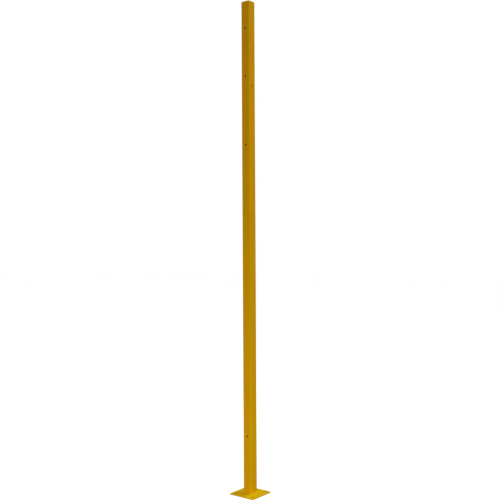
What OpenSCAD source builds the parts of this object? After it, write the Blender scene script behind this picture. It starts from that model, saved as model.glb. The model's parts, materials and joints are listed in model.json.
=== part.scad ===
// Machine-guard post: a square steel tube welded to a square base plate, drilled
// for guard panels and closed by a push-in cap. The origin is the centre of the
// plate's underside, +Z runs up the post, the panel bolts go in along Y and the
// header bolt goes in along X.

/* [Post tube] */
// Height of the finished post from the floor to the top of its cap
post_h = 2578.1; // [2560:0.1:3000]
// Width of the square tube across its flats
tube_w = 50.8; // [44:0.1:64]
// Thickness of the tube's wall
tube_wall = 2.1; // [1.6:0.1:3]
// Outer radius of the tube's rolled corners
tube_corner_r = 4.2; // [4:0.1:6]

/* [Bolt holes in the tube] */
// Diameter of the bolt holes, drilled through both walls
bolt_hole_d = 9.5; // [6:0.1:14]
// Height of the lower panel's bottom bolt above the floor
lower_panel_low_z = 304.8; // [100:0.1:600]
// Height of the lower panel's top bolt above the floor
lower_panel_high_z = 1828.8; // [1500:0.1:1900]
// Height of the header bolt above the floor
header_z = 2133.6; // [2100:0.1:2160]
// Height of the upper panel's bottom bolt above the floor
upper_panel_low_z = 2184.4; // [2182:0.1:2300]
// Height of the upper panel's top bolt above the floor
upper_panel_high_z = 2438.4; // [2350:0.1:2500]

/* [Base plate] */
// Side of the square base plate
plate_w = 152.4; // [140:0.1:200]
// Thickness of the base plate
plate_t = 6.35; // [4:0.01:12]
// Radius that takes the sharpness off the plate's corners
plate_corner_r = 1.5; // [0.5:0.1:6]
// Distance between neighbouring anchor holes
anchor_spacing = 114.3; // [110:0.1:120]
// Diameter of the four anchor holes
anchor_hole_d = 12.7; // [8:0.1:16]
// Leg of the fillet weld between the tube and the plate
weld_leg = 4.8; // [3:0.1:8]

/* [Top cap] */
// Thickness of the cap's head above the end of the tube
cap_head_t = 3.2; // [3:0.1:6]
// Rounding of the head's upper edge
cap_edge_r = 1.6; // [0.5:0.1:2.5]
// Depth of the hollow skirt that goes down into the tube
cap_skirt_h = 20; // [16:1:26]
// Thickness of the skirt and of the webs across it
cap_skirt_t = 1.8; // [1.2:0.1:2.4]
// Number of gripping ribs around the skirt
cap_ribs = 4; // [2:1:5]
// Gap between the ribs and the inside of the tube
cap_gap = 0.3; // [0.2:0.05:0.5]

/* [Hidden] */
$fn = 64;
coat_yellow = [0.84, 0.60, 0.02];
weld_yellow = [0.80, 0.56, 0.02];
cap_yellow = [0.86, 0.62, 0.03];

tube_top_z = post_h - cap_head_t;
tube_len = tube_top_z - plate_t;
bore_w = tube_w - 2 * tube_wall;
bore_corner_r = tube_corner_r - tube_wall;
panel_bolt_z = [lower_panel_low_z, lower_panel_high_z, upper_panel_low_z, upper_panel_high_z];

rib_w = bore_w - 2 * cap_gap;
rib_corner_r = bore_corner_r - cap_gap;
rib_reach = 1.3;
rib_t = 1.2;
rib_first_z = 3;
skirt_w = rib_w - 2 * rib_reach;
skirt_corner_r = 0.6;
rib_pitch = (cap_skirt_h - rib_first_z - 2 * rib_t) / (cap_ribs - 1);
overlap = 1;

// Square outline with its corners rounded by true arcs
module rounded_square(w, r) {
    square([w - 2 * r, w], center = true);
    square([w, w - 2 * r], center = true);
    for (x = [-1, 1], y = [-1, 1])
        translate([x, y] * (w / 2 - r)) circle(r);
}

// Carries a profile along the +X side of a rounded square and round half of the corner
// at each end. The profile's x is measured outwards from the side and its y upwards.
module along_side(w, r) {
    straight = w - 2 * r;
    translate([w / 2, 0, 0]) rotate([90, 0, 0])
        linear_extrude(straight, center = true) children();
    for (flip = [0, 1])
        mirror([0, flip, 0]) translate([1, 1, 0] * straight / 2)
            rotate_extrude(angle = 45) translate([r, 0]) children();
}

// Square steel plate with an anchor hole near each corner
module base_plate() {
    color(coat_yellow) difference() {
        linear_extrude(plate_t) rounded_square(plate_w, plate_corner_r);
        for (x = [-1, 1], y = [-1, 1])
            translate([x * anchor_spacing / 2, y * anchor_spacing / 2, -overlap])
                cylinder(d = anchor_hole_d, h = plate_t + 2 * overlap);
    }
}

// Square tube, open at both ends, with its cross-drilled bolt holes
module post_tube() {
    color(coat_yellow) difference() {
        translate([0, 0, plate_t])
            linear_extrude(tube_len) rounded_square(tube_w, tube_corner_r);
        translate([0, 0, plate_t - overlap])
            linear_extrude(tube_len + 2 * overlap) rounded_square(bore_w, bore_corner_r);
        for (z = panel_bolt_z)
            translate([0, 0, z]) rotate([90, 0, 0]) bolt_hole();
        translate([0, 0, header_z]) rotate([0, 90, 0]) bolt_hole();
    }
}

// Drill that goes through both walls of the tube
module bolt_hole() {
    cylinder(d = bolt_hole_d, h = tube_w + 2 * overlap, center = true);
}

// Section through a fillet weld, with the slightly raised face of a laid bead
module weld_section() {
    polygon(weld_leg * [[0, 0], [1, 0], [0.86, 0.30], [0.30, 0.86], [0, 1]]);
}

// Weld bead along one side of the tube, which meets its neighbours at the corners
module weld_bead(turn) {
    color(weld_yellow) rotate(turn) translate([0, 0, plate_t])
        along_side(tube_w, tube_corner_r) weld_section();
}

module weld_right() { weld_bead(0); }
module weld_back() { weld_bead(90); }
module weld_left() { weld_bead(180); }
module weld_front() { weld_bead(270); }

// Section through the rounding of the head's upper edge, measured in from the tube's face
module cap_edge_section() {
    translate([-cap_edge_r, 0]) intersection() {
        circle(cap_edge_r);
        square(cap_edge_r);
    }
}

// Flat head that covers the end of the tube, with its upper edge rounded all round
module cap_head() {
    edge_z = cap_head_t - cap_edge_r;
    linear_extrude(edge_z) rounded_square(tube_w, tube_corner_r);
    linear_extrude(cap_head_t)
        rounded_square(tube_w - 2 * cap_edge_r, tube_corner_r - cap_edge_r);
    translate([0, 0, edge_z]) for (turn = [0:90:270])
        rotate(turn) along_side(tube_w, tube_corner_r) cap_edge_section();
}

// Hollow skirt under the head, stiffened by crossed webs
module cap_skirt() {
    hollow_w = skirt_w - 2 * cap_skirt_t;
    linear_extrude(cap_skirt_h + overlap) {
        difference() {
            rounded_square(skirt_w, skirt_corner_r);
            square(hollow_w, center = true);
        }
        square([hollow_w + overlap, cap_skirt_t], center = true);
        square([cap_skirt_t, hollow_w + overlap], center = true);
    }
}

// Ring of soft lip around the skirt, which grips the inside of the tube
module cap_rib() {
    linear_extrude(rib_t) difference() {
        rounded_square(rib_w, rib_corner_r);
        square(skirt_w - cap_skirt_t, center = true);
    }
}

// Push-in cap: head, skirt and gripping ribs moulded in one piece
module top_cap() {
    color(cap_yellow) translate([0, 0, tube_top_z]) {
        cap_head();
        translate([0, 0, -cap_skirt_h]) {
            cap_skirt();
            for (i = [0:cap_ribs - 1])
                translate([0, 0, rib_first_z + i * rib_pitch]) cap_rib();
        }
    }
}

base_plate();
post_tube();
weld_right();
weld_back();
weld_left();
weld_front();
top_cap();
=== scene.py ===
"""Safety-yellow guard post: meshes, coats, stage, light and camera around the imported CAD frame.

Lengths are in metres and every point is in the row frame, which has its origin under the middle
of the base plate, +Z up the post, -Y out of the face with the panel bolts.
"""

import json
import math

import bmesh
import bpy
from mathutils import Matrix, Vector, noise


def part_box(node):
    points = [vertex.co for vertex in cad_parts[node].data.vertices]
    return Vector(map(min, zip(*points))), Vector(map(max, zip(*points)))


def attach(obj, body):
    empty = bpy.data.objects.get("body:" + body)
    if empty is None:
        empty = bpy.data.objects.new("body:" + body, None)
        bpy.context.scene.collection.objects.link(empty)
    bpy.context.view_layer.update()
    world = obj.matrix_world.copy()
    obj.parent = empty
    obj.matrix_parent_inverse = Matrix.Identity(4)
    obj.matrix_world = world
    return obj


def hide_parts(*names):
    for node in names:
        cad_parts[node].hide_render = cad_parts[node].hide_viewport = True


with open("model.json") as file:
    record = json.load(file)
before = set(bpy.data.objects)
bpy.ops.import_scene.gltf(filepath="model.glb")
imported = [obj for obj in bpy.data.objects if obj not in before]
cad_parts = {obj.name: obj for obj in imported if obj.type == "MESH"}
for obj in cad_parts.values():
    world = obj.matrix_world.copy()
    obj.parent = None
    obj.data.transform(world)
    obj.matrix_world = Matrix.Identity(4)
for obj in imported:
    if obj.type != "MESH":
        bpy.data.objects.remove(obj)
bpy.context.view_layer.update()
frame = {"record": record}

MM = 0.001

# ---------------------------------------------------------------- sizes

mounts = {m["name"]: m for m in frame["record"]["mounts"]}
plate_low, plate_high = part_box("base_plate")
tube_low, tube_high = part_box("post_tube")
cap_low, cap_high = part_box("top_cap")
weld_low, weld_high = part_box("weld_right")

PLATE_W = plate_high.x - plate_low.x
PLATE_T = plate_high.z - plate_low.z
TUBE_W = tube_high.x - tube_low.x
WELD_LEG = weld_high.z - weld_low.z

# The frame doesn't hold these, so they repeat the part's own values
TUBE_WALL = 2.1 * MM
TUBE_CORNER_R = 4.2 * MM
PLATE_CORNER_R = 1.5 * MM
CAP_EDGE_R = 1.6 * MM
CAP_SKIRT_R = 0.6 * MM
CAP_SKIRT_T = 1.8 * MM
CAP_GAP = 0.3 * MM
CAP_RIBS = 4
CAP_RIB_FIRST = 3 * MM
CAP_RIB_T = 1.2 * MM
CAP_RIB_REACH = 1.3 * MM

# Half of the flat part of the tube's side, then the bore, and what fits into it
HALF_FLAT = TUBE_W / 2 - TUBE_CORNER_R
BORE_W, BORE_R = TUBE_W - 2 * TUBE_WALL, TUBE_CORNER_R - TUBE_WALL
CAP_RIB_W, CAP_RIB_R = BORE_W - 2 * CAP_GAP, BORE_R - CAP_GAP
CAP_SKIRT_W = CAP_RIB_W - 2 * CAP_RIB_REACH
HALF_HOLLOW, HALF_WEB = CAP_SKIRT_W / 2 - CAP_SKIRT_T, CAP_SKIRT_T / 2
CAP_STOPS = [-HALF_HOLLOW, -HALF_WEB, HALF_WEB, HALF_HOLLOW]

# Points round a hole, steps round a corner, and the bend that counts as a full edge
HOLE_STEPS = 48
ARC_STEPS = 10
SHARP_BEND = math.radians(30)
WELD_SIDES = ("right", "back", "left", "front")


def pair_heights(mount):
    """Heights of the two bolts of a pattern that stands upright."""
    middle, half = mount["pos_m"][2], mount["dims"]["spacing_y_mm"] * MM / 2
    return [middle - half, middle + half]


PANEL_BOLT_Z = pair_heights(mounts["lower_panel_bolts"]) + pair_heights(mounts["upper_panel_bolts"])
HEADER_BOLT_Z = mounts["header_bolt"]["pos_m"][2]
BOLT_HOLE_R = mounts["header_bolt"]["dims"]["r_mm"] * MM
ANCHOR_HOLE_R = mounts["anchor_bolts"]["dims"]["hole_r_mm"] * MM
ANCHOR_OFFSET = mounts["anchor_bolts"]["dims"]["spacing_x_mm"] * MM / 2


# ---------------------------------------------------------------- mesh tools


class Shell:
    """Faces of one closed piece. Each face brings its own corners, which weld() joins up."""

    def __init__(self):
        self.points = []
        self.faces = []

    def face(self, corners):
        first = len(self.points)
        self.points.extend(corners)
        self.faces.append(range(first, len(self.points)))

    def band(self, loop_a, loop_b):
        count = len(loop_a)
        for i in range(count):
            j = (i + 1) % count
            self.face([loop_a[i], loop_a[j], loop_b[j], loop_b[i]])

    def loft(self, loops):
        for loop_a, loop_b in zip(loops, loops[1:]):
            self.band(loop_a, loop_b)

    def weld(self, name, sharp_angle=40, bare=None):
        """Joins the faces into an object with soft normals, and marks its edges and its bare steel."""
        bm = bmesh.new()
        verts = [bm.verts.new(p) for p in self.points]
        for corners in self.faces:
            bm.faces.new([verts[i] for i in corners])
        bmesh.ops.remove_doubles(bm, verts=bm.verts, dist=2e-6)
        bmesh.ops.dissolve_degenerate(bm, edges=bm.edges, dist=1e-7)
        bmesh.ops.recalc_face_normals(bm, faces=bm.faces)
        edge_mark = bm.verts.layers.float.new("edge")
        for face in bm.faces:
            face.smooth = True
        bare_mark = bm.verts.layers.float.new("bare")
        for vert in bm.verts:
            bends = [e.calc_face_angle(0) for e in vert.link_edges]
            vert[edge_mark] = min(1, max(bends) / SHARP_BEND)
            vert[bare_mark] = bare(vert.co) if bare else 0
        for edge in bm.edges:
            edge.smooth = edge.calc_face_angle(0) < math.radians(sharp_angle)
        mesh = bpy.data.meshes.new(name)
        bm.to_mesh(mesh)
        bm.free()
        obj = bpy.data.objects.new(name, mesh)
        bpy.context.scene.collection.objects.link(obj)
        soften = obj.modifiers.new("flat faces keep flat normals", "WEIGHTED_NORMAL")
        soften.keep_sharp = True
        return obj


def outline(width, radius, z, stops=()):
    """Loop of points round a square with rounded corners, with a point at each stop along a side."""
    half, straight = width / 2, width / 2 - radius
    side = [(half, u) for u in stops]
    for step in range(ARC_STEPS + 1):
        a = math.radians(90 * step / ARC_STEPS)
        side.append((straight + radius * math.cos(a), straight + radius * math.sin(a)))
    loop = []
    for quarter in range(4):
        turn = math.radians(90 * quarter)
        c, s = math.cos(turn), math.sin(turn)
        loop.extend(Vector((x * c - y * s, x * s + y * c, z)) for x, y in side)
    return loop


def rounding(radius, steps=5):
    """(inset, drop) pairs along a quarter circle, from a flat face round to the face beside it."""
    angles = [math.radians(90 * i / steps) for i in range(steps + 1)]
    return [(radius * (1 - math.sin(a)), radius * (1 - math.cos(a))) for a in angles]


def hole_profile(radius, depth, near_round, far_round):
    """(radius, depth) pairs of a drilled hole with softened rims at both faces."""
    near = [(radius + inset, drop) for inset, drop in rounding(near_round)]
    far = [(radius + inset, depth - drop) for inset, drop in rounding(far_round)]
    return near + far[::-1]


def hole_loop(place, centre, radius, depth):
    u, v = centre
    angles = [2 * math.pi * i / HOLE_STEPS for i in range(HOLE_STEPS)]
    return [place(u + radius * math.cos(a), v + radius * math.sin(a), depth) for a in angles]


def holed_cell(shell, place, cell, radius, depth):
    """Fills a rectangular cell (u0, u1, v0, v1) round the hole at its middle, at one depth."""
    u0, u1, v0, v1 = cell
    middle = ((u0 + u1) / 2, (v0 + v1) / 2)
    reach = (radius + min((u1 - u0) / 2, (v1 - v0) / 2)) / 2
    square = []
    for i in range(HOLE_STEPS):
        a = 2 * math.pi * i / HOLE_STEPS
        c, s = math.cos(a), math.sin(a)
        grow = reach / max(abs(c), abs(s))
        square.append(place(middle[0] + c * grow, middle[1] + s * grow, depth))
    rings = [hole_loop(place, middle, r, depth) for r in (radius, (2 * radius + reach) / 3)]
    shell.loft(rings + [square])
    corners = [place(u1, v0, depth), place(u1, v1, depth), place(u0, v1, depth), place(u0, v0, depth)]
    side = HOLE_STEPS // 4
    for quarter in range(4):
        first = quarter * side - side // 2
        run = [square[(first + i) % HOLE_STEPS] for i in range(side + 1)]
        shell.face([corners[quarter], corners[(quarter + 1) % 4]] + run[::-1])


def cell_corners(place, cell, depth):
    u0, u1, v0, v1 = cell
    return [place(u, v, depth) for u, v in ((u0, v0), (u1, v0), (u1, v1), (u0, v1))]


def gridded_face(shell, loop, stops, place, depth, fill):
    """Fills a level face inside its outline, with a grid of cells on the outline's stops.

    There are four stops along a side, so the grid is five cells by five. fill() makes the four cells
    between the first and last pairs of stops both ways. The outline's rounded corners get a face each.
    """
    edge = max(p.x for p in loop)
    lines = [-edge] + stops + [edge]
    for i in range(5):
        for j in range(5):
            cell = (lines[i], lines[i + 1], lines[j], lines[j + 1])
            if i in (0, 4) and j in (0, 4):
                continue
            if i in (1, 3) and j in (1, 3):
                fill(cell)
            else:
                shell.face(cell_corners(place, cell, depth))
    per_side = len(stops) + ARC_STEPS + 1
    for quarter in range(4):
        first = quarter * per_side + len(stops) - 1
        run = [loop[(first + k) % len(loop)] for k in range(ARC_STEPS + 3)]
        if quarter % 2 == 0:
            inner = Vector((run[-1].x, run[0].y, run[0].z))
        else:
            inner = Vector((run[0].x, run[-1].y, run[0].z))
        shell.face(run + [inner])


# ---------------------------------------------------------------- pieces


def tube_lengths(hole_heights, low, high):
    """Cuts the tube into short lengths from the foot up: (low, high, height of its hole or None)."""
    cell_half, longest = 11 * MM, 160 * MM
    lengths = []
    for hole_z in hole_heights + [None]:
        plain_high = high if hole_z is None else hole_z - cell_half
        count = math.ceil((plain_high - low) / longest)
        steps = [low + (plain_high - low) * i / count for i in range(count + 1)]
        lengths += [(z0, z1, None) for z0, z1 in zip(steps, steps[1:])]
        if hole_z is not None:
            low = hole_z + cell_half
            lengths.append((plain_high, low, hole_z))
    return lengths


def tube_corners(shell, z0, z1):
    """Rolled corners of one length of the tube, outside and in the bore."""
    for width, radius in ((TUBE_W, TUBE_CORNER_R), (BORE_W, BORE_R)):
        lower, upper = outline(width, radius, z0), outline(width, radius, z1)
        for i in range(len(lower)):
            if i % (ARC_STEPS + 1) < ARC_STEPS:
                shell.face([lower[i], lower[i + 1], upper[i + 1], upper[i]])


def tube_wall(shell, side, z0, z1, hole_z):
    """Flat wall of one length of the tube on one side, drilled if it is given a hole."""
    turn = math.radians(90 * side)
    out = Vector((math.cos(turn), math.sin(turn), 0))
    along = Vector((-math.sin(turn), math.cos(turn), 0))
    cell = (-HALF_FLAT, HALF_FLAT, z0, z1)

    def place(u, v, depth):
        return out * (TUBE_W / 2 - depth) + along * u + Vector((0, 0, v))

    if hole_z is None:
        shell.face(cell_corners(place, cell, 0))
        shell.face(cell_corners(place, cell, TUBE_WALL))
        return
    profile = hole_profile(BOLT_HOLE_R, TUBE_WALL, near_round=0.45 * MM, far_round=0.3 * MM)
    for radius, depth in (profile[0], profile[-1]):
        holed_cell(shell, place, cell, radius, depth)
    shell.loft([hole_loop(place, (0, hole_z), radius, depth) for radius, depth in profile])


def bare_share(p):
    """How far the coat has thinned out on the way into the bore, which the spray can't reach."""
    depth = (TUBE_W / 2 - max(abs(p.x), abs(p.y))) / TUBE_WALL
    coated = 0.3
    return min(1, max(0, depth - coated) / (1 - coated))


def make_tube():
    """Square tube with rolled corners, deburred ends and cross-drilled holes with coated rims."""
    shell = Shell()
    end_round = 0.35 * MM
    hole_sides = {z: (1, 3) for z in PANEL_BOLT_Z}
    hole_sides[HEADER_BOLT_Z] = (0, 2)
    low, high = tube_low.z + end_round, tube_high.z - end_round
    for z0, z1, hole_z in tube_lengths(sorted(hole_sides), low, high):
        tube_corners(shell, z0, z1)
        for side in range(4):
            drilled = side in hole_sides.get(hole_z, ())
            tube_wall(shell, side, z0, z1, hole_z if drilled else None)
    for z, inwards in ((tube_low.z, 1), (tube_high.z, -1)):
        outside, inside = [], []
        for inset, drop in rounding(end_round):
            outside.append(outline(TUBE_W - 2 * inset, TUBE_CORNER_R - inset, z + inwards * drop))
            inside.append(outline(BORE_W + 2 * inset, BORE_R + inset, z + inwards * drop))
        shell.loft(outside[::-1] + inside)
    return shell.weld("steel_tube", bare=bare_share)


def make_plate():
    """Sheared plate: upper edge rolled over by the shear, corners dressed, four anchor holes."""
    shell = Shell()
    upper_round, lower_round = 0.9 * MM, 0.4 * MM
    cell_half = 14 * MM
    stops = [s * ANCHOR_OFFSET + o * cell_half for s in (-1, 1) for o in (-1, 1)]
    profile = hole_profile(ANCHOR_HOLE_R, PLATE_T, near_round=0.6 * MM, far_round=0.4 * MM)

    def place(u, v, depth):
        return Vector((u, v, plate_high.z - depth))

    loops = []
    for inset, drop in rounding(upper_round):
        loops.append(outline(PLATE_W - 2 * inset, PLATE_CORNER_R - inset, plate_high.z - drop, stops))
    for inset, drop in rounding(lower_round)[::-1]:
        loops.append(outline(PLATE_W - 2 * inset, PLATE_CORNER_R - inset, plate_low.z + drop, stops))
    shell.loft(loops)

    for loop, (radius, depth) in ((loops[0], profile[0]), (loops[-1], profile[-1])):

        def fill(cell, radius=radius, depth=depth):
            holed_cell(shell, place, cell, radius, depth)

        gridded_face(shell, loop, stops, place, depth, fill)
    for x in (-ANCHOR_OFFSET, ANCHOR_OFFSET):
        for y in (-ANCHOR_OFFSET, ANCHOR_OFFSET):
            shell.loft([hole_loop(place, (x, y), r, d) for r, d in profile])
    return shell.weld("floor_plate")


def weld_spine():
    """Points along the +X side of the tube's foot and a little over half of the corner at each end.

    Each one is (distance along, place, outward direction).
    """
    lap, row_gap = math.radians(8), 0.3 * MM
    arc_r = TUBE_CORNER_R + WELD_LEG / 2
    bend = (math.pi / 4 + lap) * arc_r
    total = 2 * HALF_FLAT + 2 * bend
    rows = round(total / row_gap)
    spine = []
    for row in range(rows + 1):
        s = total * row / rows
        if s < bend:
            a, y = (s - bend) / arc_r, -HALF_FLAT
        elif s > bend + 2 * HALF_FLAT:
            a, y = (s - bend - 2 * HALF_FLAT) / arc_r, HALF_FLAT
        else:
            a, y = 0, s - bend - HALF_FLAT
        out = Vector((math.cos(a), math.sin(a), 0))
        spine.append((s, Vector((HALF_FLAT, y, PLATE_T)) + out * TUBE_CORNER_R, out))
    return spine


def make_weld(side, seed):
    """Fillet bead along one side of the tube, with laid ripples, that laps its neighbours a little."""
    across = 16
    ripple_pitch, ripple_depth, ripple_lag = 2.3 * MM, 0.26 * MM, 1.7 * MM
    bulge, sink = 0.17, 0.25 * MM
    full_leg, end_share, run_in = WELD_LEG - 0.25 * MM, 0.86, 2.2 * MM
    leg_wander, pace_wander, grit = 0.05, 0.5 * MM, 0.04 * MM
    leg_rate, pace_rate, grit_rate = 160, 220, 900
    turn = Matrix.Rotation(math.radians(90 * side), 4, "Z")
    spine = weld_spine()
    total = spine[-1][0]

    shell = Shell()
    loops = []
    for s, root, out in spine:
        ends = min(1, min(s, total - s) / run_in)
        wander = noise.noise(Vector((s * leg_rate, seed, 0.5)))
        leg = full_leg * (1 + leg_wander * wander) * (end_share + (1 - end_share) * ends)
        pace = s + pace_wander * noise.noise(Vector((s * pace_rate, seed, 4.5)))
        loop = []
        for step in range(across + 1):
            angle = math.radians(90) * (1 - step / across)
            # 0 along the middle of the bead's face and 1 at its toes
            v = abs(2 * step / across - 1)
            phase = (pace + ripple_lag * v * v) / ripple_pitch
            scallop = abs(math.sin(math.pi * phase)) ** 0.7 - 0.6
            body = (1 - v * v) ** 0.6
            reach = leg / (math.cos(angle) + math.sin(angle)) * (1 + bulge * body)
            reach += ripple_depth * scallop * body
            rough = noise.noise(Vector((s * grit_rate, step * 0.7, seed + 9)))
            reach += grit * rough * body
            loop.append(root + out * (reach * math.cos(angle)) + Vector((0, 0, reach * math.sin(angle))))
        # Sinks the bead's back a little way into the tube and the plate
        loop.append(loop[-1] + Vector((0, 0, -sink)))
        loop.append(root - out * sink + Vector((0, 0, -sink)))
        loop.append(loop[0] - out * sink)
        loops.append([turn @ p for p in loop])
    shell.loft(loops)
    shell.face(loops[0])
    shell.face(loops[-1])
    return shell.weld("weld_bead_" + WELD_SIDES[side], sharp_angle=60)


def cap_loop(width, radius, z):
    """Loop round the cap, with points on its sides in line with the pockets under the skirt."""
    return outline(width, radius, z, CAP_STOPS)


def head_loop(inset, z):
    """Loop round the cap's head, which is as wide as the tube."""
    return cap_loop(TUBE_W - 2 * inset, TUBE_CORNER_R - inset, z)


def crown_loops(crown):
    """Loops over the cap's top: the dished gate mark at the middle, then the crown out to the edge.

    On the way out they turn from circles into the head's outline.
    """
    gate_r, gate_depth = 2.2 * MM, 0.3 * MM
    half, rim_z = TUBE_W / 2 - CAP_EDGE_R, cap_high.z - crown
    edge = head_loop(CAP_EDGE_R, 0)

    def crown_loop(share, drop=0.0):
        z = rim_z + crown * (1 - share ** 2) - drop
        spots = [(p.normalized() * half * share).lerp(p * share, share ** 1.5) for p in edge]
        return [Vector((spot.x, spot.y, z)) for spot in spots]

    gate = gate_r / half
    loops = [crown_loop(gate * k, gate_depth) for k in (0.3, 0.8)]
    loops += [crown_loop(gate * 0.93, gate_depth * 0.7), crown_loop(gate, 0.05 * MM)]
    loops.append(crown_loop(gate * 1.12))
    return loops + [crown_loop(share) for share in (0.2, 0.35, 0.5, 0.65, 0.8, 0.92)]


def skirt_loops():
    """Loops down the cap's skirt, on which each rib is a lip that leans up."""
    lip_round, lead = 0.25 * MM, 0.5 * MM
    # A rib's outer points: the share of its height that each is at, and how far in
    lip = ((0.92, lip_round), (0.74, 0), (0.50, 0), (0.28, lip_round))
    depth = tube_high.z - cap_low.z
    pitch = (depth - CAP_RIB_FIRST - 2 * CAP_RIB_T) / (CAP_RIBS - 1)
    loops = [cap_loop(CAP_SKIRT_W, CAP_SKIRT_R, tube_high.z)]
    for i in reversed(range(CAP_RIBS)):
        low = cap_low.z + CAP_RIB_FIRST + i * pitch
        loops.append(cap_loop(CAP_SKIRT_W, CAP_SKIRT_R, low + CAP_RIB_T))
        for share, inset in lip:
            loops.append(cap_loop(CAP_RIB_W - 2 * inset, CAP_RIB_R - inset, low + share * CAP_RIB_T))
        loops.append(cap_loop(CAP_SKIRT_W, CAP_SKIRT_R, low))
    loops.append(cap_loop(CAP_SKIRT_W, CAP_SKIRT_R, cap_low.z + lead))
    loops.append(cap_loop(CAP_SKIRT_W - 1.2 * lead, CAP_SKIRT_R - 0.5 * lead, cap_low.z))
    return loops


def make_cap():
    """Moulded push-in cap: crowned head with a gate mark, ribbed skirt with four pockets under it."""
    shell = Shell()
    crown, under_round = 0.45 * MM, 0.35 * MM
    depth = tube_high.z - cap_low.z
    top, skirt = crown_loops(crown), skirt_loops()
    upper = [head_loop(inset, cap_high.z - crown - drop) for inset, drop in rounding(CAP_EDGE_R, 8)]
    lower = [head_loop(inset, tube_high.z + drop) for inset, drop in rounding(under_round)[::-1]]
    shell.loft(top + upper + lower + skirt)
    shell.face(top[0])

    def place(u, v, up):
        return Vector((u, v, cap_low.z + up))

    def pocket(cell):
        mouth, roof = cell_corners(place, cell, 0), cell_corners(place, cell, depth)
        shell.band(mouth, roof)
        shell.face(roof)

    gridded_face(shell, skirt[-1], CAP_STOPS, place, 0, pocket)
    return shell.weld("cap_moulding")


# ---------------------------------------------------------------- materials


class Nodes:
    """Short forms for a material's node tree."""

    def __init__(self, name):
        self.material = bpy.data.materials.new(name)
        self.material.use_nodes = True
        self.tree = self.material.node_tree
        self.shader = self.tree.nodes["Principled BSDF"]
        coordinates = self.add("ShaderNodeTexCoord")
        self.place, self.normal = coordinates.outputs["Object"], coordinates.outputs["Normal"]

    def add(self, kind, **values):
        node = self.tree.nodes.new(kind)
        for key, value in values.items():
            setattr(node, key, value)
        return node

    def join(self, out, socket):
        self.tree.links.new(out, socket)

    def noise(self, scale, detail=3, roughness=0.5, stretch=(1, 1, 1)):
        squeeze = self.add("ShaderNodeMapping")
        squeeze.inputs["Scale"].default_value = stretch
        self.join(self.place, squeeze.inputs["Vector"])
        node = self.add("ShaderNodeTexNoise")
        node.inputs["Scale"].default_value = scale
        node.inputs["Detail"].default_value = detail
        node.inputs["Roughness"].default_value = roughness
        self.join(squeeze.outputs["Vector"], node.inputs["Vector"])
        return node.outputs["Fac"]

    def remap(self, value, low, high, to_low, to_high):
        node = self.add("ShaderNodeMapRange")
        self.join(value, node.inputs["Value"])
        sockets = ("From Min", "From Max", "To Min", "To Max")
        for socket, number in zip(sockets, (low, high, to_low, to_high)):
            node.inputs[socket].default_value = number
        return node.outputs["Result"]

    def mix(self, share, first, second):
        node = self.add("ShaderNodeMix", data_type="RGBA")
        colour_a, colour_b, colour_out = node.inputs[6], node.inputs[7], node.outputs[2]
        self.join(share, node.inputs["Factor"])
        for socket, colour in ((colour_a, first), (colour_b, second)):
            if isinstance(colour, tuple):
                socket.default_value = (*colour, 1)
            else:
                self.join(colour, socket)
        return colour_out

    def bump(self, height, distance, strength=1.0, under=None):
        node = self.add("ShaderNodeBump")
        node.inputs["Strength"].default_value = strength
        node.inputs["Distance"].default_value = distance
        self.join(height, node.inputs["Height"])
        if under:
            self.join(under, node.inputs["Normal"])
        return node.outputs["Normal"]

    def mark(self, name):
        """A mark that the mesh code left on the surface, from 0 to 1."""
        return self.add("ShaderNodeAttribute", attribute_name=name).outputs["Fac"]

    def both(self, first, second):
        node = self.add("ShaderNodeMath", operation="MULTIPLY")
        self.join(first, node.inputs[0])
        self.join(second, node.inputs[1])
        return node.outputs[0]

    def upward(self, vector):
        """Upward part of a vector: a place's height above the floor, or how level a face lies."""
        split = self.add("ShaderNodeSeparateXYZ")
        self.join(vector, split.inputs[0])
        return split.outputs["Z"]

    def scratches(self, turn):
        """Sparse hairline marks that all run one way, from 0 on clean surface to 1 on a mark."""
        rotate = self.add("ShaderNodeMapping")
        rotate.inputs["Rotation"].default_value = turn
        rotate.inputs["Scale"].default_value = SCRATCH_RATE
        self.join(self.place, rotate.inputs["Vector"])
        lines = self.add("ShaderNodeTexNoise")
        lines.inputs["Scale"].default_value = 1
        lines.inputs["Detail"].default_value = 1
        self.join(rotate.outputs["Vector"], lines.inputs["Vector"])
        thin = self.remap(lines.outputs["Fac"], 0.70, 0.76, 0, 1)
        patches = self.remap(self.noise(11, 2), 0.52, 0.62, 0, 1)
        return self.both(thin, patches)


# Colours of the coat: as sprayed, in a full film, in a thin one, painted top light on level faces
# (lighter and more lemon, as if lit from above), rubbed, and the dusting of overspray on the steel
# inside the tube
YELLOW = (0.612, 0.299, 0.0018)
YELLOW_THICK = (0.648, 0.325, 0.0020)
YELLOW_THIN = (0.500, 0.221, 0.0018)
YELLOW_PAINTED_TOP_LIGHT = (0.640, 0.355, 0.0018)
YELLOW_RUBBED = (0.690, 0.370, 0.0200)
BORE_STEEL = (0.110, 0.062, 0.024)

# Both finishes share one gloss, tinted so that it doesn't wash out the yellow
SPECULAR_LEVEL = 0.4
SPECULAR_TINT = (1.0, 0.66, 0.02, 1)

# In waves per metre, like every noise scale here: along a scratch, then across it both ways
SCRATCH_RATE = (26, 900, 900)


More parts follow.
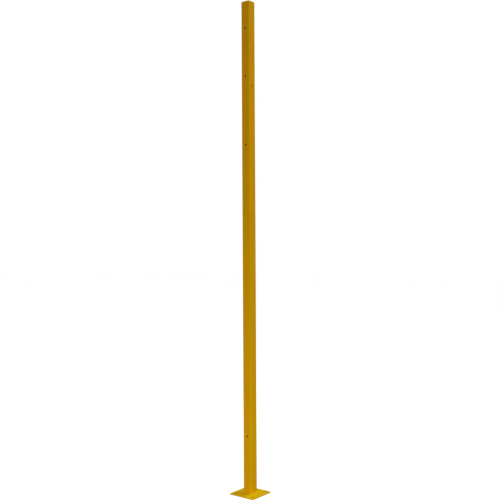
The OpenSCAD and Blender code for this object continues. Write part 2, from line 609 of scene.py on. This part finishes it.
def powder_coat():
    """Baked powder coat.

    Orange peel and finer flow marks, faint clouding from the spray passes, painted top light that makes
    level faces lighter and more lemon, a thinner, redder film over edges, handling marks low on the
    post, and a bore that the spray barely reached.
    """
    n = Nodes("powder_coat_yellow")
    clouds = n.remap(n.noise(7, 3, stretch=(1, 1, 0.4)), 0.36, 0.64, 0, 1)
    grain = n.remap(n.noise(900, 3, 0.6), 0.35, 0.75, 0, 0.30)
    colour = n.mix(clouds, YELLOW, YELLOW_THICK)
    # Painted light: faces that lie level are mixed toward a lighter, more lemon yellow, as if lit from
    # above
    colour = n.mix(n.remap(n.upward(n.normal), 0.6, 1, 0, 1), colour, YELLOW_PAINTED_TOP_LIGHT)
    colour = n.mix(grain, colour, YELLOW_THIN)
    colour = n.mix(n.remap(n.mark("edge"), 0.3, 1, 0, 0.55), colour, YELLOW_THIN)
    handled = n.remap(n.upward(n.place), 0.0, 1.4, 0.75, 0.12)
    rubs = n.both(n.scratches((0.3, 1.2, 0.5)), handled)
    colour = n.mix(rubs, colour, YELLOW_RUBBED)
    colour = n.mix(n.mark("bare"), colour, BORE_STEEL)
    n.join(colour, n.shader.inputs["Base Color"])

    glossy, satin, rubbed, raw = [(level,) * 3 for level in (0.26, 0.38, 0.55, 0.70)]
    roughness = n.mix(n.remap(n.noise(38, 4), 0.3, 0.7, 0, 1), glossy, satin)
    roughness = n.mix(rubs, roughness, rubbed)
    n.join(n.mix(n.mark("bare"), roughness, raw), n.shader.inputs["Roughness"])

    peel_depth, flow_depth, scratch_depth = 0.15 * MM, 0.03 * MM, 0.01 * MM
    peel = n.bump(n.noise(400, 1, 0.4), peel_depth)
    flow = n.bump(n.noise(1500, 2), flow_depth, 0.8, under=peel)
    n.join(n.bump(rubs, -scratch_depth, 0.6, under=flow), n.shader.inputs["Normal"])
    n.shader.inputs["Specular IOR Level"].default_value = SPECULAR_LEVEL
    n.shader.inputs["Specular Tint"].default_value = SPECULAR_TINT
    return n.material


def cap_plastic():
    """Moulded polyethylene close to the coat, with a spark-eroded grain and a faint flow swirl."""
    n = Nodes("cap_plastic_yellow")
    swirl = n.noise(55, 4)
    n.join(n.mix(n.remap(swirl, 0.35, 0.65, 0, 1), YELLOW, YELLOW_THICK), n.shader.inputs["Base Color"])
    n.join(n.remap(n.noise(260, 3), 0.3, 0.7, 0.44, 0.58), n.shader.inputs["Roughness"])
    grain_depth, swirl_depth = 0.04 * MM, 0.08 * MM
    grain = n.bump(n.noise(1700, 3, 0.6), grain_depth, 0.8)
    n.join(n.bump(swirl, swirl_depth, 0.4, under=grain), n.shader.inputs["Normal"])
    n.shader.inputs["Specular IOR Level"].default_value = SPECULAR_LEVEL
    n.shader.inputs["Specular Tint"].default_value = SPECULAR_TINT
    return n.material


# ---------------------------------------------------------------- build

coat, plastic = powder_coat(), cap_plastic()

tube = make_tube()
plate = make_plate()
cap = make_cap()
steel = [(tube, "post_tube"), (plate, "base_plate")]
for side, name in enumerate(WELD_SIDES):
    steel.append((make_weld(side, seed=3 + 7 * side), "weld_" + name))
for piece, node in steel:
    piece.data.materials.append(coat)
    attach(piece, "post")
    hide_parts(node)
cap.data.materials.append(plastic)
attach(cap, "cap")
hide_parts("top_cap")


# ---------------------------------------------------------------- stage, light and camera


def make_floor():
    """Pale studio floor that glows nearly to white by itself and still takes a faint shadow."""
    size, drop = 30.0, 0.3 * MM
    paint, glow = (0.15, 0.15, 0.15, 1), (0.955, 0.95, 0.99, 1)
    mesh = bpy.data.meshes.new("studio_floor")
    corners = [(-size, -size, -drop), (size, -size, -drop), (size, size, -drop), (-size, size, -drop)]
    mesh.from_pydata(corners, [], [(0, 1, 2, 3)])
    floor = bpy.data.objects.new("studio_floor", mesh)
    bpy.context.scene.collection.objects.link(floor)
    material = bpy.data.materials.new("studio_floor_paint")
    material.use_nodes = True
    shader = material.node_tree.nodes["Principled BSDF"]
    shader.inputs["Base Color"].default_value = paint
    shader.inputs["Roughness"].default_value = 1
    shader.inputs["Specular IOR Level"].default_value = 0
    shader.inputs["Emission Color"].default_value = glow
    shader.inputs["Emission Strength"].default_value = 1
    mesh.materials.append(material)
    floor.visible_diffuse = False
    floor.visible_glossy = False


def area_light(name, place, target, size, watts, colour):
    light = bpy.data.lights.new(name, "AREA")
    light.shape = "RECTANGLE"
    light.size, light.size_y = size
    light.energy = watts
    light.color = colour
    obj = bpy.data.objects.new(name, light)
    obj.location = place
    obj.rotation_mode = "QUATERNION"
    obj.rotation_quaternion = (Vector(target) - Vector(place)).to_track_quat("-Z", "Y")
    obj.visible_camera = False
    bpy.context.scene.collection.objects.link(obj)
    return obj


# Lamp colours: from above, from the sides, and low down where the floor would throw light back
DAYLIGHT = (0.63, 1.0, 0.15)
LAMP = (1.0, 0.85, 0.25)
BOUNCE = (0.92, 1.0, 0.20)

# Softboxes: name, place, where it points, size, watts, colour
LIGHTS = [
    ("key_back", (1.9, 7.6, 9.0), (0, 0, 0.6), (1.8, 1.8), 205, DAYLIGHT),
    ("key_top", (1.5, 1.25, 9.5), (0, 0, 0.2), (1.3, 1.3), 320, DAYLIGHT),
    ("overhead", (0.2, 0.2, 9.0), (0, 0, 0), (2.4, 2.4), 300, DAYLIGHT),
    ("right_low", (1.7, -0.38, 0.1), (0, 0, 0.1), (0.8, 0.2), 9.8, BOUNCE),
    ("right_high", (3.2, -0.8, 2.6), (0, 0, 2.5), (1.0, 1.4), 33, LAMP),
    ("front_low", (0.28, -1.65, 0.1), (0, 0, 0.1), (0.8, 0.2), 10.6, BOUNCE),
    ("front_high", (0.6, -3.3, 1.9), (0, 0, 1.8), (1.0, 1.4), 17.5, LAMP),
    ("left_fill", (-2.9, 1.4, 1.1), (0, 0, 1.1), (1.0, 1.8), 30, LAMP),
    ("rear_fill", (-0.4, 4.0, 2.8), (0, 0, 1.3), (1.2, 1.8), 42, LAMP),
]


def make_world():
    """White backdrop to the camera, dimmer and yellow as a light, dimmer still in the gloss."""
    world = bpy.data.worlds.new("studio")
    world.use_nodes = True
    tree = world.node_tree
    ambient = tree.nodes["Background"]
    ambient.name = "ambient"
    ambient.inputs["Color"].default_value = (1.0, 0.98, 0.40, 1)
    ambient.inputs["Strength"].default_value = 0.31
    seen = [("Is Glossy Ray", (1.0, 0.95, 0.20, 1), 0.06), ("Is Camera Ray", (1, 1, 1, 1), 1.0)]
    path = tree.nodes.new("ShaderNodeLightPath")
    result = ambient.outputs[0]
    for seen_by, colour, strength in seen:
        level = tree.nodes.new("ShaderNodeBackground")
        level.inputs["Color"].default_value = colour
        level.inputs["Strength"].default_value = strength
        pick = tree.nodes.new("ShaderNodeMixShader")
        tree.links.new(path.outputs[seen_by], pick.inputs["Fac"])
        tree.links.new(result, pick.inputs[1])
        tree.links.new(level.outputs[0], pick.inputs[2])
        result = pick.outputs[0]
    tree.links.new(result, tree.nodes["World Output"].inputs["Surface"])
    bpy.context.scene.world = world


def make_camera():
    """Level camera at about half the post's height that looks at one of its corners."""
    azimuth, distance, height = math.radians(37.7), 3.98, 1.278
    lens, sensor = 54.62, 36
    post_left_of_axis, roll = 0.0044, math.radians(0.29)
    forward = Vector((-math.sin(azimuth), math.cos(azimuth), 0))
    right = Vector((math.cos(azimuth), math.sin(azimuth), 0))
    up = Vector((0, 0, 1))
    camera = bpy.data.objects.new("camera", bpy.data.cameras.new("camera"))
    camera.data.sensor_width = sensor
    camera.data.lens = lens
    axes = Matrix((right, up, -forward)).transposed() @ Matrix.Rotation(-roll, 3, "Z")
    camera.matrix_world = Matrix.Translation(
        right * post_left_of_axis - forward * distance + up * height
    ) @ axes.to_4x4()
    bpy.context.scene.collection.objects.link(camera)
    bpy.context.scene.camera = camera


make_floor()
make_world()
make_camera()
for name, place, target, size, watts, colour in LIGHTS:
    area_light(name, place, target, size, watts, colour)
view = bpy.context.scene.view_settings
view.view_transform = "Standard"
view.look = "None"

bpy.context.view_layer.update()
